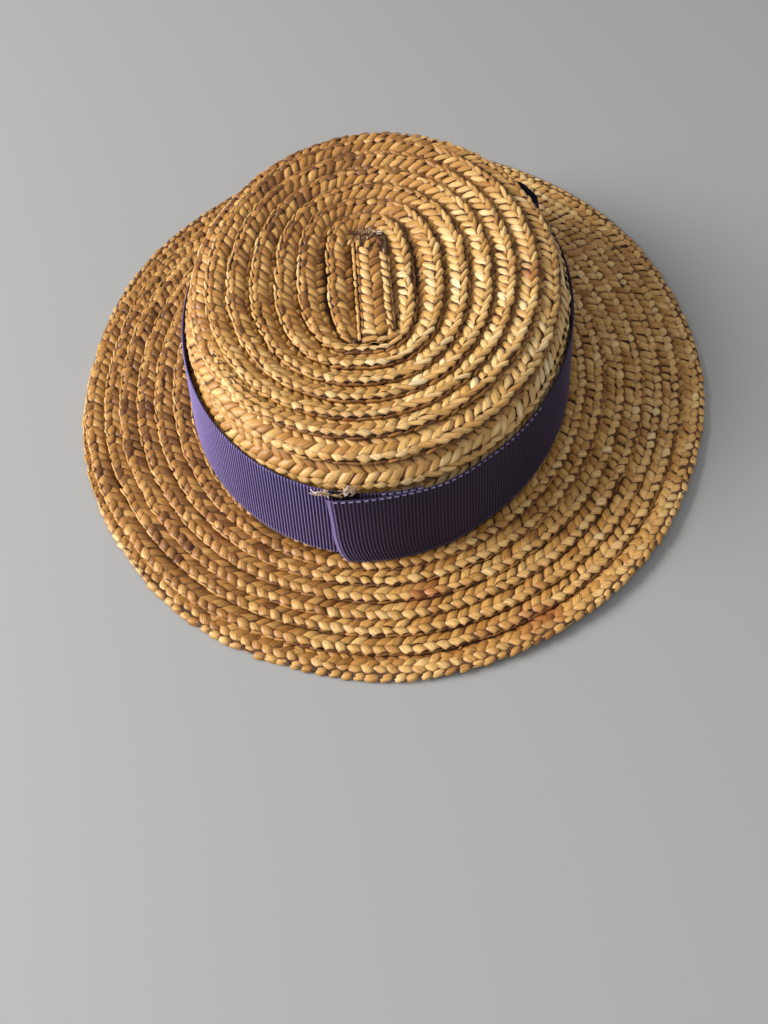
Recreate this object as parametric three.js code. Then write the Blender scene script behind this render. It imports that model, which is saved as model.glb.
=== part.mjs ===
import * as THREE from 'three';

// A low-crowned straw hat, plaited as one long flat braid that is sewn round and round, with a
// grosgrain ribbon about its crown. Millimetres, +Z up, lying on its brim at z = 0. The hat is
// longer along Y, the lap of the ribbon is at its -Y end, and the origin is the brim's centre.

// Crown
const CROWN_HALF_WIDTH = 77.9; // outside the straw, where the shoulder starts
const CROWN_HALF_LENGTH = 99.8;
const CROWN_HEIGHT = 57.7; // from the table to the flat tip
const SHOULDER_DROP = 16.7; // from the tip down to the upright side
const BASE_FLARE_WIDTH = 2.6; // how far the side leans out on its way down to the brim
const BASE_FLARE_LENGTH = 0.7;
const CROWN_OFFSET_X = -6.3; // the crown stands a little left of the brim's centre
const CROWN_OFFSET_Y = 0.8;
const SIDE_ROUNDS = 4;

// Brim
const BRIM_HALF_WIDTH = 134.4;
const BRIM_HALF_LENGTH = 152.9;
const BRIM_ROUNDS = 7;
const BRIM_EDGE_WAVER = 0.6; // the sewn edge is not a true oval

// Braid
const STRAW_WALL = 1.5; // a round where it slips under its neighbour
const LAP_STEP = 1.4; // a round's outer edge stands this far above the next round
const LAP_RUN = 0.3; // sideways run of that step
const BRIM_UNDERCUT = 0.7; // hollow under each brim round, seen from below
const BRIM_TUCK = 3.5; // how far a brim round reaches in under the one before it
const CLEARANCE = 0.3; // between pieces that touch

// Straight start of the braid in the middle of the tip
const START_HALF_WIDTH = 7.6;
const START_HALF_LENGTH = 32.4;
const START_THICKNESS = 1.6;
const START_CORNER = 2.0;
const START_SHIFT = -0.107; // towards -Y, as a share of the crown's half length
const START_TURN = 7.9; // degrees

// Ribbon
const RIBBON_WIDTH = 37.6;
const RIBBON_THICKNESS = 1.0;
const RIBBON_LAP_TURN = -97; // where the upper end stops, in degrees from +X
const RIBBON_LAP_SPAN = 24; // degrees of overlap
const RIBBON_CLIMB_SPAN = 20; // degrees over which the upper end climbs onto the lower one
const RIBBON_END_SLANT = 4; // degrees between the end's upper and lower corner
const RIBBON_END_FLARE = 2.6; // the upper end's lower corner stands out from the crown
const RIBBON_FLARE_SPAN = 45; // degrees

const SEGMENTS = 72; // corners round each oval

// Edges of the rounds from the middle of the tip out to the shoulder. width and length are
// shares of the way from the start's half size to the crown's, shift is a share of the start's
// shift, drop is a share of SHOULDER_DROP, square is the oval's exponent (2 is an ellipse),
// turn is a share of START_TURN, and bow is how far the round bulges over the shoulder, as a
// share of SHOULDER_DROP.
const TIP_ROUNDS = [
  { width: 0.147, length: 0.100, shift: 0.747, drop: 0.00, square: 2.9, turn: 0.89, bow: 0 },
  { width: 0.299, length: 0.227, shift: 0.664, drop: 0.00, square: 2.5, turn: 0.76, bow: 0 },
  { width: 0.427, length: 0.363, shift: 0.580, drop: 0.00, square: 2.3, turn: 0.51, bow: 0 },
  { width: 0.559, length: 0.501, shift: 0.467, drop: 0.00, square: 2.15, turn: 0.38, bow: 0 },
  { width: 0.688, length: 0.645, shift: 0.336, drop: 0.01, square: 2.05, turn: 0.25, bow: 0 },
  { width: 0.816, length: 0.793, shift: 0.150, drop: 0.07, square: 2.0, turn: 0.13, bow: 0 },
  { width: 0.939, length: 0.930, shift: 0.037, drop: 0.33, square: 2.0, turn: 0, bow: 0.03 },
  { width: 1.000, length: 1.000, shift: 0.000, drop: 1.00, square: 2.0, turn: 0, bow: 0.07 },
];

// Places where the brim's edge has risen off the table: middle and half span in degrees from
// +X, lift in mm at the edge. lift fades out towards the crown.
const BRIM_LIFTS = [
  { turn: -42, span: 58, lift: 2.6 },
  { turn: 148, span: 40, lift: 1.4 },
];
const LIFT_STARTS = 0.45; // share of the brim's width that stays flat
const BRIM_SQUARE = 1.98;

const radians = THREE.MathUtils.degToRad;
const mix = THREE.MathUtils.lerp;

function shortestTurn(fromDegrees, toDegrees) {
  const turn = (toDegrees - fromDegrees) % 360;
  return turn > 180 ? turn - 360 : turn < -180 ? turn + 360 : turn;
}

// One point of an oval { halfWidth, halfLength, x, y, square, turn } at an angle in radians.
function ovalPoint(oval, angle) {
  const power = 2 / oval.square;
  const across = Math.cos(angle);
  const along = Math.sin(angle);
  const x = oval.halfWidth * Math.sign(across) * Math.abs(across) ** power;
  const y = oval.halfLength * Math.sign(along) * Math.abs(along) ** power;
  const turn = radians(oval.turn);
  return {
    x: oval.x + x * Math.cos(turn) - y * Math.sin(turn),
    y: oval.y + x * Math.sin(turn) + y * Math.cos(turn),
  };
}

function ringOf(oval, heightAt = () => oval.z) {
  return Array.from({ length: SEGMENTS }, (_, i) => {
    const angle = (2 * Math.PI * i) / SEGMENTS;
    const point = ovalPoint(oval, angle);
    return new THREE.Vector3(point.x, point.y, heightAt(angle));
  });
}

// Faces between neighbouring rings of equal length. Each ring runs anticlockwise seen from
// above, and the first ring is inside or above the next on an outer surface.
function joinRings(rings, faces, closed) {
  const last = closed ? rings.length : rings.length - 1;
  for (let r = 0; r < last; r += 1) {
    const inner = rings[r];
    const outer = rings[(r + 1) % rings.length];
    for (let i = 0; i < inner.length; i += 1) {
      const j = (i + 1) % inner.length;
      faces.push([inner[i], outer[i], outer[j]], [inner[i], outer[j], inner[j]]);
    }
  }
}

function closeRing(ring, centre, faces, facesUp) {
  for (let i = 0; i < ring.length; i += 1) {
    const j = (i + 1) % ring.length;
    faces.push(facesUp ? [centre, ring[i], ring[j]] : [centre, ring[j], ring[i]]);
  }
}

function geometryOf(faces) {
  const positions = faces.flat().flatMap((point) => [point.x, point.y, point.z]);
  const geometry = new THREE.BufferGeometry();
  geometry.setAttribute('position', new THREE.Float32BufferAttribute(positions, 3));
  geometry.computeVertexNormals();
  return geometry;
}

function pieceOf(name, geometry, colour, roughness) {
  const material = new THREE.MeshStandardMaterial({ color: colour, roughness, metalness: 0 });
  const mesh = new THREE.Mesh(geometry, material);
  mesh.name = name;
  return mesh;
}

// Crown: the envelope is the line of the rounds' raised edges, from the tip down to the brim.
const brimTop = STRAW_WALL + LAP_STEP;
const crownBottom = brimTop + CLEARANCE;
const shoulderHeight = CROWN_HEIGHT - SHOULDER_DROP;

function tipOval(row) {
  return {
    halfWidth: mix(START_HALF_WIDTH, CROWN_HALF_WIDTH, row.width),
    halfLength: mix(START_HALF_LENGTH, CROWN_HALF_LENGTH, row.length),
    x: CROWN_OFFSET_X,
    y: CROWN_OFFSET_Y + CROWN_HALF_LENGTH * START_SHIFT * row.shift,
    z: CROWN_HEIGHT - SHOULDER_DROP * row.drop,
    square: row.square,
    turn: START_TURN * row.turn,
    bow: SHOULDER_DROP * row.bow,
  };
}

// The upright side at a height between the brim (share 0) and the shoulder (share 1).
function sideOval(share) {
  return {
    halfWidth: CROWN_HALF_WIDTH + BASE_FLARE_WIDTH * (1 - share),
    halfLength: CROWN_HALF_LENGTH + BASE_FLARE_LENGTH * (1 - share),
    x: CROWN_OFFSET_X,
    y: CROWN_OFFSET_Y,
    z: mix(crownBottom, shoulderHeight, share),
    square: 2,
    turn: 0,
    bow: 0,
  };
}

function crownEnvelope() {
  const ovals = TIP_ROUNDS.map(tipOval);
  for (let round = 1; round <= SIDE_ROUNDS; round += 1) {
    ovals.push(sideOval(1 - round / SIDE_ROUNDS));
  }
  return ovals;
}

// The oval sunk by a depth square to the surface that the envelope makes there.
function sunk(ovals, index, depth, run = 0) {
  const oval = ovals[index];
  const before = ovals[Math.max(index - 1, 0)];
  const after = ovals[Math.min(index + 1, ovals.length - 1)];
  const outward = (after.halfWidth + after.halfLength - before.halfWidth - before.halfLength) / 2;
  const down = before.z - after.z;
  const slope = Math.hypot(outward, down);
  const normalOut = down / slope;
  const normalUp = outward / slope;
  const sideways = run * normalUp - depth * normalOut;
  return {
    ...oval,
    halfWidth: oval.halfWidth + sideways,
    halfLength: oval.halfLength + sideways,
    z: oval.z - depth * normalUp - run * normalOut,
  };
}

// The middle of a round between its foot and its edge, standing out by its bow.
function bowed(ovals, index, foot) {
  const edge = sunk(ovals, index, -ovals[index].bow);
  const middle = { ...edge };
  for (const size of ['halfWidth', 'halfLength', 'y', 'z']) {
    middle[size] += (foot[size] - ovals[index][size]) / 2;
  }
  return middle;
}

// The bed that the straight start of the braid lies on, a little larger than the start itself.
const START_BED_MARGIN = 1.2;
const START_BED_SQUARE = 6;
const startCentre = {
  x: CROWN_OFFSET_X,
  y: CROWN_OFFSET_Y + CROWN_HALF_LENGTH * START_SHIFT,
};
const startBed = {
  ...startCentre,
  halfWidth: START_HALF_WIDTH + START_BED_MARGIN,
  halfLength: START_HALF_LENGTH + START_BED_MARGIN,
  z: CROWN_HEIGHT - LAP_STEP,
  square: START_BED_SQUARE,
  turn: START_TURN,
};

function crownGeometry() {
  const envelope = crownEnvelope();
  const last = envelope.length - 1;
  const outer = [startBed, envelope[0]];
  for (let i = 1; i <= last; i += 1) {
    const foot = sunk(envelope, i - 1, LAP_STEP, LAP_RUN);
    outer.push(foot);
    if (envelope[i].bow) outer.push(bowed(envelope, i, foot));
    outer.push(envelope[i]);
  }
  const wall = LAP_STEP + STRAW_WALL;
  const inner = envelope.map((oval, i) => sunk(envelope, i, wall));
  inner[last] = { ...inner[last], z: envelope[last].z };
  const rings = [...outer, ...inner.reverse()].map((oval) => ringOf(oval));
  const faces = [];
  joinRings(rings, faces, false);
  const top = new THREE.Vector3(startCentre.x, startCentre.y, startBed.z);
  closeRing(rings[0], top, faces, true);
  const ceiling = rings[rings.length - 1];
  closeRing(ceiling, new THREE.Vector3(top.x, top.y, ceiling[0].z), faces, false);
  return geometryOf(faces);
}

// Brim: share 0 is the foot of the crown's side, share 1 the outer edge.
function brimOval(share) {
  const base = sideOval(0);
  return {
    halfWidth: mix(base.halfWidth, BRIM_HALF_WIDTH, share),
    halfLength: mix(base.halfLength, BRIM_HALF_LENGTH, share),
    x: mix(base.x, 0, share),
    y: mix(base.y, 0, share),
    square: mix(2, BRIM_SQUARE, share),
    turn: 0,
  };
}

function brimLift(angle, share) {
  const reach = Math.max(0, (share - LIFT_STARTS) / (1 - LIFT_STARTS));
  const rise = BRIM_LIFTS.reduce((sum, row) => {
    const away = Math.abs(shortestTurn(row.turn, THREE.MathUtils.radToDeg(angle))) / row.span;
    return sum + (away < 1 ? row.lift * Math.cos((away * Math.PI) / 2) ** 2 : 0);
  }, 0);
  return rise * reach ** 2;
}

function brimRing(share, height, outward = 0) {
  const oval = brimOval(share);
  oval.halfWidth += outward;
  oval.halfLength += outward;
  const ring = ringOf(oval, (angle) => height + brimLift(angle, share));
  ring.forEach((point, i) => {
    const angle = (2 * Math.PI * i) / SEGMENTS;
    const waver = BRIM_EDGE_WAVER * share * (Math.sin(5 * angle) + Math.cos(9 * angle)) / 2;
    point.x += waver * Math.cos(angle);
    point.y += waver * Math.sin(angle);
  });
  return ring;
}

function brimGeometry() {
  const hole = -(LAP_STEP + STRAW_WALL);
  const rings = [brimRing(0, brimTop - LAP_STEP / 2, hole), brimRing(0, brimTop)];
  for (let round = 1; round <= BRIM_ROUNDS; round += 1) {
    const share = round / BRIM_ROUNDS;
    rings.push(brimRing((round - 1) / BRIM_ROUNDS, brimTop - LAP_STEP, LAP_RUN));
    rings.push(brimRing(share, brimTop));
  }
  rings.push(brimRing(1, BRIM_UNDERCUT, -LAP_RUN));
  for (let round = BRIM_ROUNDS - 1; round >= 0; round -= 1) {
    const share = round / BRIM_ROUNDS;
    const land = round === BRIM_ROUNDS - 1 ? BRIM_TUCK : 0;
    if (land) rings.push(brimRing(share, 0, land));
    rings.push(brimRing(share, 0, -BRIM_TUCK / 2));
    if (round) rings.push(brimRing(share, BRIM_UNDERCUT, -BRIM_TUCK / 2 - LAP_RUN));
  }
  rings.push(brimRing(0, 0, hole));
  const faces = [];
  joinRings(rings, faces, true);
  return geometryOf(faces);
}

// Straight start: a flat length of braid on the tip, with softened corners.
function startGeometry() {
  const outline = new THREE.Shape();
  const w = START_HALF_WIDTH - START_CORNER;
  const l = START_HALF_LENGTH - START_CORNER;
  outline.absarc(w, l, START_CORNER, 0, Math.PI / 2);
  outline.absarc(-w, l, START_CORNER, Math.PI / 2, Math.PI);
  outline.absarc(-w, -l, START_CORNER, Math.PI, 1.5 * Math.PI);
  outline.absarc(w, -l, START_CORNER, 1.5 * Math.PI, 2 * Math.PI);
  return new THREE.ExtrudeGeometry(outline, {
    depth: START_THICKNESS,
    bevelEnabled: false,
    curveSegments: 3,
  });
}

// Ribbon: one length, whose upper end laps over its lower end near -Y. It runs clockwise seen
// from above, from under the lap, round the back, to the lap's free end.
function ribbonGeometry() {
  const start = RIBBON_LAP_TURN + RIBBON_LAP_SPAN;
  const travel = 360 + RIBBON_LAP_SPAN;
  const stations = Math.round((SEGMENTS * travel) / 360);
  const bottom = crownBottom;
  const top = bottom + RIBBON_WIDTH;
  const rise = RIBBON_THICKNESS + CLEARANCE;
  const sections = [];
  for (let i = 0; i <= stations; i += 1) {
    const gone = (travel * i) / stations;
    const left = travel - gone;
    const climb = THREE.MathUtils.smoothstep(
      gone,
      360 - RIBBON_CLIMB_SPAN,
      360 - RIBBON_CLIMB_SPAN / 4,
    );
    const flare = RIBBON_END_FLARE * Math.max(0, 1 - left / RIBBON_FLARE_SPAN) ** 2;
    const slant = (RIBBON_END_SLANT * Math.max(0, 1 - left / RIBBON_LAP_SPAN)) / 2;
    const corner = (height, flared, slanted, outward) => {
      const share = (height - crownBottom) / (shoulderHeight - crownBottom);
      const oval = sideOval(share);
      const reach = CLEARANCE + climb * rise + flared + outward;
      oval.halfWidth += reach;
      oval.halfLength += reach;
      const point = ovalPoint(oval, radians(start - gone + slanted));
      return new THREE.Vector3(point.x, point.y, height);
    };
    sections.push([
      corner(top, 0, -slant, 0),
      corner(top, 0, -slant, RIBBON_THICKNESS),
      corner(bottom, flare, slant, RIBBON_THICKNESS),
      corner(bottom, flare, slant, 0),
    ]);
  }
  const faces = [];
  joinRings(sections, faces, false);
  const [a, b, c, d] = sections[0];
  faces.push([a, b, c], [a, c, d]);
  const [e, f, g, h] = sections[sections.length - 1];
  faces.push([e, g, f], [e, h, g]);
  return geometryOf(faces);
}

const STRAW = 0xc9a05c;
const hat = new THREE.Group();
hat.add(pieceOf('crown', crownGeometry(), STRAW, 0.5));
hat.add(pieceOf('brim', brimGeometry(), STRAW, 0.5));

const start = pieceOf('braid_start', startGeometry(), STRAW, 0.5);
start.position.set(startCentre.x, startCentre.y, startBed.z + CLEARANCE);
start.rotation.z = radians(START_TURN);
hat.add(start);

hat.add(pieceOf('ribbon', ribbonGeometry(), 0x4c3b6e, 0.8));

export default hat;
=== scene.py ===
import math

import bpy
import numpy as np
from mathutils import Matrix, Vector


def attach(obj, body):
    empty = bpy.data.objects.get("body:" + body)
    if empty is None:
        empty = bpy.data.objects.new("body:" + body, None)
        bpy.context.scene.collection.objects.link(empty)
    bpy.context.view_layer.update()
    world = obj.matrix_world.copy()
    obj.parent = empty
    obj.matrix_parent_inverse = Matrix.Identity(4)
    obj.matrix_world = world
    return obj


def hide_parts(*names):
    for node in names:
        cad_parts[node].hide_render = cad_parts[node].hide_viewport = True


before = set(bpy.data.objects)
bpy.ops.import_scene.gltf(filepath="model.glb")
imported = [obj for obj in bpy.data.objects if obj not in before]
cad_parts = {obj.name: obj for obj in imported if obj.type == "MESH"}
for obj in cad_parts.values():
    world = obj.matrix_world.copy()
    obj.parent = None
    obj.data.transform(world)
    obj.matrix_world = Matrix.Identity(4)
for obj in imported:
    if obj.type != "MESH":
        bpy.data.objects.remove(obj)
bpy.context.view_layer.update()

# A plaited straw hat. Lengths below are millimetres in the same frame as the solids, and go
# into the meshes as metres. One braid runs clockwise, seen from above, from the straight
# length in the middle of the tip to the brim's edge, and each turn laps over the next.
MM = 0.001
UP = np.array([0.0, 0.0, 1.0])

# Crown and brim, as in the solids
CROWN_CENTRE = (-6.3, 0.8)
CROWN_HALF = (77.9, 99.8)
FOOT_FLARE = (2.6, 0.7)
CROWN_TOP = 57.7
SHOULDER_DROP = 16.7
SHOULDER = CROWN_TOP - SHOULDER_DROP
CROWN_FOOT = 3.2
BRIM_HALF = (134.4, 152.9)
BRIM_TOP = 2.9
BRIM_SQUARE = 1.98
# Direction in degrees, half span and height of each place where the brim is lifted
BRIM_LIFTS = [(-42, 58, 2.6), (148, 40, 1.4)]
LIFT_STARTS = 0.45
EDGE_WAVER = 0.6

# Braid
CELL_PITCH = 4.75
BRAID_THICKNESS = 1.1
# Uneven work: how far cells stray from their places, and how far their tones differ
PLACE_SWAY = 0.22
TONE_SWAY = 0.07
# A cell's long edges dip towards the sheet.
EDGE_DIP = 0.35
CROWN_FOOT_DEPTH = 2.8
BRIM_FOOT_DEPTH = 1.9

# Edge of each turn on the crown, as shares of its half sizes towards the left, back, right and
# front, then its drop as a share of the shoulder's, its squareness and its turn in degrees.
CROWN_TURNS = np.array([
    (0.085, 0.217, 0.095, 0.432, 0.00, 3.6, 8),
    (0.240, 0.312, 0.192, 0.468, 0.00, 2.9, 7),
    (0.394, 0.407, 0.341, 0.549, 0.00, 2.5, 6),
    (0.510, 0.508, 0.468, 0.632, 0.00, 2.3, 4),
    (0.634, 0.613, 0.590, 0.713, 0.00, 2.15, 3),
    (0.756, 0.724, 0.707, 0.796, 0.01, 2.05, 2),
    (0.870, 0.844, 0.825, 0.876, 0.07, 2.0, 1),
    (0.962, 0.949, 0.941, 0.959, 0.33, 2.0, 0),
    (1.000, 1.000, 1.000, 1.000, 1.00, 2.0, 0),
])
SIDE_TURNS = 4
# Edge of each turn on the brim, as shares of the way from the crown's foot to the rim.
BRIM_TURNS = np.array([
    (0.000, 0.000, 0.000, 0.000),
    (0.041, 0.090, 0.142, 0.133),
    (0.210, 0.235, 0.261, 0.259),
    (0.380, 0.390, 0.409, 0.396),
    (0.538, 0.540, 0.534, 0.537),
    (0.700, 0.690, 0.673, 0.662),
    (0.830, 0.825, 0.785, 0.805),
    (1.000, 1.000, 0.960, 1.000),
    (1.000, 1.000, 1.000, 1.000),
])
# Share of a turn that is still to come at its left, back, right and front
PHASES = (0.75, 0.5, 0.25, 0.0)
CROWN_END = 12.0
BRIM_START = CROWN_END + 0.02
LAST_TURN = 19.25
RIM_START = LAST_TURN - 1.03
# Turn counts between which the pieces of the braid lie
ABOVE_RIBBON_END = 9.3
BRIM_HALFWAY = 16.4
INSIDE_START = 1.0
UNDER_START = 12.6
UNDER_EDGE_START = LAST_TURN - 1

# The braid's own sheet, under its cells: steps along it, the turn count at which it starts,
# and its section as distances in from the edge and heights
CORE_PITCH = 3.0
CORE_START = 0.05
CORE_SECTION = [
    (0.9, -0.75),
    (2.5, -0.30),
    (5.0, -0.45),
    (8.0, -0.75),
    (13.0, -0.85),
    (13.0, -1.25),
    (8.0, -1.25),
    (4.0, -1.25),
    (1.0, -1.25),
]
# Straw that would come closer to the table than PRESSED_BELOW is pressed up to TABLE_GAP
TABLE_GAP = 0.03
PRESSED_BELOW = 0.6

# Straight start of the braid
START_HALF = (7.6, 32.4)
START_TURN = 7.9
START_CENTRE = (-6.3, -9.9)
START_NEAR_GAP = 3.4
START_FAR_GAP = 1.5
START_CORE_HALF = (START_HALF[0] - 1.6, START_HALF[1] - 1.2)
START_CORE_CORNER = 1.8
START_CORE_TOP = -0.55
START_CORE_BOTTOM = -1.6
START_FRAY = 7.0

# Ribbon. Turns and spans are degrees about the crown, and its end is the outer one, at the lap.
RIBBON_WIDTH = 37.6
RIBBON_OFF_CROWN = 0.3
# How far its inner and outer face stand out from there
RIBBON_FACES = (0.30, 0.80)
# An oval of this shape is this much longer round than a circle of its mean half size.
RIBBON_OVAL = 1.004
# Shares of the width at which it has rows of points
RIBBON_SHARES = np.array([0.0, 0.03, 0.08, 0.14, 0.22, 0.35, 0.55, 0.8, 0.94, 0.97, 1.0])
RIBBON_LAP_TURN = -97
RIBBON_LAP_SPAN = 24
RIBBON_LAP_LIFT = 1.3
RIBBON_CLIMB_SPAN = 20
RIBBON_START = RIBBON_LAP_TURN + RIBBON_LAP_SPAN
RIBBON_TRAVEL = 360 + RIBBON_LAP_SPAN
RIBBON_END_SLANT = 0.6
RIBBON_END_FLARE = 2.6
RIBBON_FLARE_SPAN = 45
RIBBON_END_BEND = 2.9
RIBBON_BEND_SPAN = 40
RIBBON_END_FOLD = 0.9
RIBBON_FOLD_LENGTH = 2.4
RIBBON_SELVEDGE = 2.6
RIBBON_TOP_STAND = 3.0
RIBBON_STAND_SPAN = 24
RIBBON_TOP_SAG = 0.9
RIBBON_SAG_SPAN = 20
# The upper edge also stands off at the back right.
RIBBON_BACK_STAND = 4.6
RIBBON_BACK_TURN = 42
RIBBON_BACK_SPAN = 5.5
# The part of the lower layer under the lapped end, painted near black as shadow
RIBBON_LAP_SHADOW_SPAN = (16, 23.4)
RIBBON_LAP_SHADOW_ABOVE = 0.7
RIB_PITCH = 1.48
RIB_DEPTH = 0.26
RIB_STATIONS = 4
# Where threads show at the upper edge, as degrees from the ribbon's inner end
THREAD_SPANS = ((361.0, 383.0), (322.0, 360.0), (0.6, 10.5))
THREAD_OUTWARD = 1.02
THREAD_BELOW_EDGE = 0.55

rng = np.random.default_rng(1847)


# ---- Places along the braid
def extents(tau, table, first_turn):
    """The four extents of the edge at a turn count, each read at its own quarter."""
    numbers = np.arange(len(table)) + first_turn
    return [np.interp(tau + phase, numbers, table[:, i]) for i, phase in enumerate(PHASES)]


def wrapped(degrees):
    return (degrees + 180) % 360 - 180


def angle_of(tau):
    return -np.pi / 2 - 2 * np.pi * tau


def turn_number(tau):
    """Turn count at each place, such that a turn closes on itself from its left to its front."""
    angle = angle_of(tau)
    c, s = np.cos(angle), np.sin(angle)
    sideways = tau + np.where(c < 0, PHASES[0], PHASES[2])
    lengthways = tau + np.where(s > 0, PHASES[1], PHASES[3])
    return c * c * sideways + s * s * lengthways


def oval(angle, half_w, half_l, x, y, square=2, turn=0):
    c, s = np.cos(angle), np.sin(angle)
    power = 2 / square
    px = half_w * np.sign(c) * np.abs(c) ** power
    py = half_l * np.sign(s) * np.abs(s) ** power
    t = np.radians(turn)
    return x + px * np.cos(t) - py * np.sin(t), y + px * np.sin(t) + py * np.cos(t)


def about_crown(angle, reach, down):
    """The crown's side: down is 0 at the shoulder and 1 at the foot."""
    half_w = CROWN_HALF[0] + FOOT_FLARE[0] * down + reach
    half_l = CROWN_HALF[1] + FOOT_FLARE[1] * down + reach
    return oval(angle, half_w, half_l, *CROWN_CENTRE)


def crown_edge(tau):
    left, back, right, front = extents(tau, CROWN_TURNS, 0)
    rows = np.arange(len(CROWN_TURNS))
    square = np.interp(tau + 0.5, rows, CROWN_TURNS[:, 5])
    turn = np.interp(tau + 0.5, rows, CROWN_TURNS[:, 6])
    number = turn_number(tau)
    drop = np.interp(number, rows, CROWN_TURNS[:, 4])
    down = np.clip((number - rows[-1]) / SIDE_TURNS, 0, 1)
    z = CROWN_TOP - SHOULDER_DROP * drop - (SHOULDER - CROWN_FOOT) * down
    half_w = CROWN_HALF[0] * (left + right) / 2 + FOOT_FLARE[0] * down
    half_l = CROWN_HALF[1] * (front + back) / 2 + FOOT_FLARE[1] * down
    x = CROWN_CENTRE[0] + CROWN_HALF[0] * (right - left) / 2
    y = CROWN_CENTRE[1] + CROWN_HALF[1] * (back - front) / 2
    px, py = oval(angle_of(tau), half_w, half_l, x, y, square, turn)
    return np.stack([px, py, z], -1)


def brim_lift(angle, share):
    reach = np.maximum(0, (share - LIFT_STARTS) / (1 - LIFT_STARTS))
    rise = np.zeros_like(angle)
    for middle, span, lift in BRIM_LIFTS:
        away = np.abs(wrapped(np.degrees(angle) - middle)) / span
        rise += np.where(away < 1, lift * np.cos(np.minimum(away, 1) * np.pi / 2) ** 2, 0)
    return rise * reach**2


def brim_place(angle, share, height):
    base = about_crown(angle, 0, 1)
    rim = oval(angle, *BRIM_HALF, 0, 0, BRIM_SQUARE)
    waver = EDGE_WAVER * share * (np.sin(5 * angle) + np.cos(9 * angle)) / 2
    x = base[0] * (1 - share) + rim[0] * share + waver * np.cos(angle)
    y = base[1] * (1 - share) + rim[1] * share + waver * np.sin(angle)
    return np.stack([x, y, height + brim_lift(angle, share)], -1)


def brim_edge(tau):
    left, back, right, front = extents(tau, BRIM_TURNS, CROWN_END)
    angle = angle_of(tau)
    c, s = np.cos(angle), np.sin(angle)
    share = c * c * np.where(c < 0, left, right) + s * s * np.where(s > 0, back, front)
    return brim_place(angle, share, BRIM_TOP)


def unit(v):
    return v / np.linalg.norm(v, axis=-1, keepdims=True)


class Run:
    """Frames along a stretch of the braid: along (its travel), out (to its edge), up."""

    SAMPLES = 900  # a turn, for measuring lengths
    STEP = 0.002  # of a turn, for finding the way that the braid travels
    UPRIGHT = 0.5  # a sheet that shows less than this has no slope of its own
    NARROW = 4.0  # a sheet that shows less than this sinks towards the turn above it
    SINK = 1.2  # how far it sinks at most

    def __init__(self, edge, start, end, pitch, foot_of, foot_depth):
        fine = np.linspace(start, end, int((end - start) * self.SAMPLES) + 2)
        steps = np.linalg.norm(np.diff(edge(fine), axis=0), axis=1)
        gone = np.concatenate([[0], np.cumsum(steps)])
        self.tau = np.interp(np.arange(int(gone[-1] / pitch)) * pitch, gone, fine)
        self.edge = edge(self.tau)
        self.along = unit(edge(self.tau + self.STEP) - edge(self.tau - self.STEP))
        across = self.edge - foot_of(self.tau)
        across -= self.along * np.sum(across * self.along, -1, keepdims=True)
        flat_width = np.linalg.norm(across, axis=-1, keepdims=True)
        across = np.where(flat_width > self.UPRIGHT, across, np.cross(UP, self.along))
        self.flat_up = unit(np.cross(self.along, unit(across)))
        sunk = np.minimum(1, flat_width / self.NARROW) * foot_depth
        slope = across + self.flat_up * sunk
        self.width = np.maximum(np.linalg.norm(slope, axis=-1), 0.01)
        self.low = self.SINK * np.maximum(0, 1 - flat_width / self.NARROW)
        self.out = unit(slope)
        self.up = unit(np.cross(self.along, self.out))

    def place(self, inward, height):
        """Points that lie inward from the edge by a distance, and above the sheet."""
        inward = np.broadcast_to(inward, self.width.shape)
        shown = np.minimum(inward, self.width)[:, None]
        hidden = np.maximum(inward - self.width, 0)[:, None]
        flat_out = unit(np.cross(self.flat_up, self.along))
        point = self.edge - self.out * shown - flat_out * hidden
        return point + self.up * (np.reshape(height, (-1, 1)) - self.low)

    def sides(self):
        """How far each place lies towards the left, the back, the right and the front."""
        angle = angle_of(self.tau)
        c, s = np.cos(angle), np.sin(angle)
        return [np.clip(way, 0, 1) for way in (-c, s, c, -s)]


def crown_foot(tau):
    return crown_edge(tau - 1)


def brim_foot(tau):
    before = brim_edge(np.maximum(tau - 1, CROWN_END))
    base = brim_place(angle_of(tau), np.zeros_like(tau), BRIM_TOP)
    return np.where((tau < CROWN_END + 1)[:, None], base, before)


# ---- Materials
def links(tree):
    return tree.links.new


def node(tree, kind, **values):
    made = tree.nodes.new(kind)
    for name, value in values.items():
        setattr(made, name, value)
    return made


def plain_material(name):
    material = bpy.data.materials.new(name)
    material.use_nodes = True
    return material, material.node_tree, material.node_tree.nodes["Principled BSDF"]


def set_inputs(made, values):
    for name, value in values.items():
        made.inputs[name].default_value = value


def fill(tree, socket, value):
    """Gives a socket a number, a colour or what comes out of another socket."""
    if isinstance(value, bpy.types.NodeSocket):
        links(tree)(value, socket)
    else:
        socket.default_value = (*value, 1) if isinstance(value, tuple) else value


def math_node(tree, operation, *values, clamp=False):
    made = node(tree, "ShaderNodeMath", operation=operation, use_clamp=clamp)
    for socket, value in zip(made.inputs, values):
        fill(tree, socket, value)
    return made.outputs[0]


def ramp_node(tree, factor, stops):
    made = node(tree, "ShaderNodeValToRGB")
    ramp = made.color_ramp
    while len(ramp.elements) < len(stops):
        ramp.elements.new(0.5)
    for element, (place, colour) in zip(ramp.elements, stops):
        element.position = place
        element.color = (*colour, 1)
    links(tree)(factor, made.inputs[0])
    return made.outputs[0]


def mix_colour(tree, factor, first, second, blend="MIX"):
    made = node(tree, "ShaderNodeMix", data_type="RGBA", blend_type=blend)
    for number, value in ((0, factor), (6, first), (7, second)):
        fill(tree, made.inputs[number], value)
    return made.outputs[2]


def attribute(tree, name):
    return node(tree, "ShaderNodeAttribute", attribute_name=name).outputs["Fac"]


def object_place(tree):
    return node(tree, "ShaderNodeTexCoord").outputs["Object"]


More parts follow.
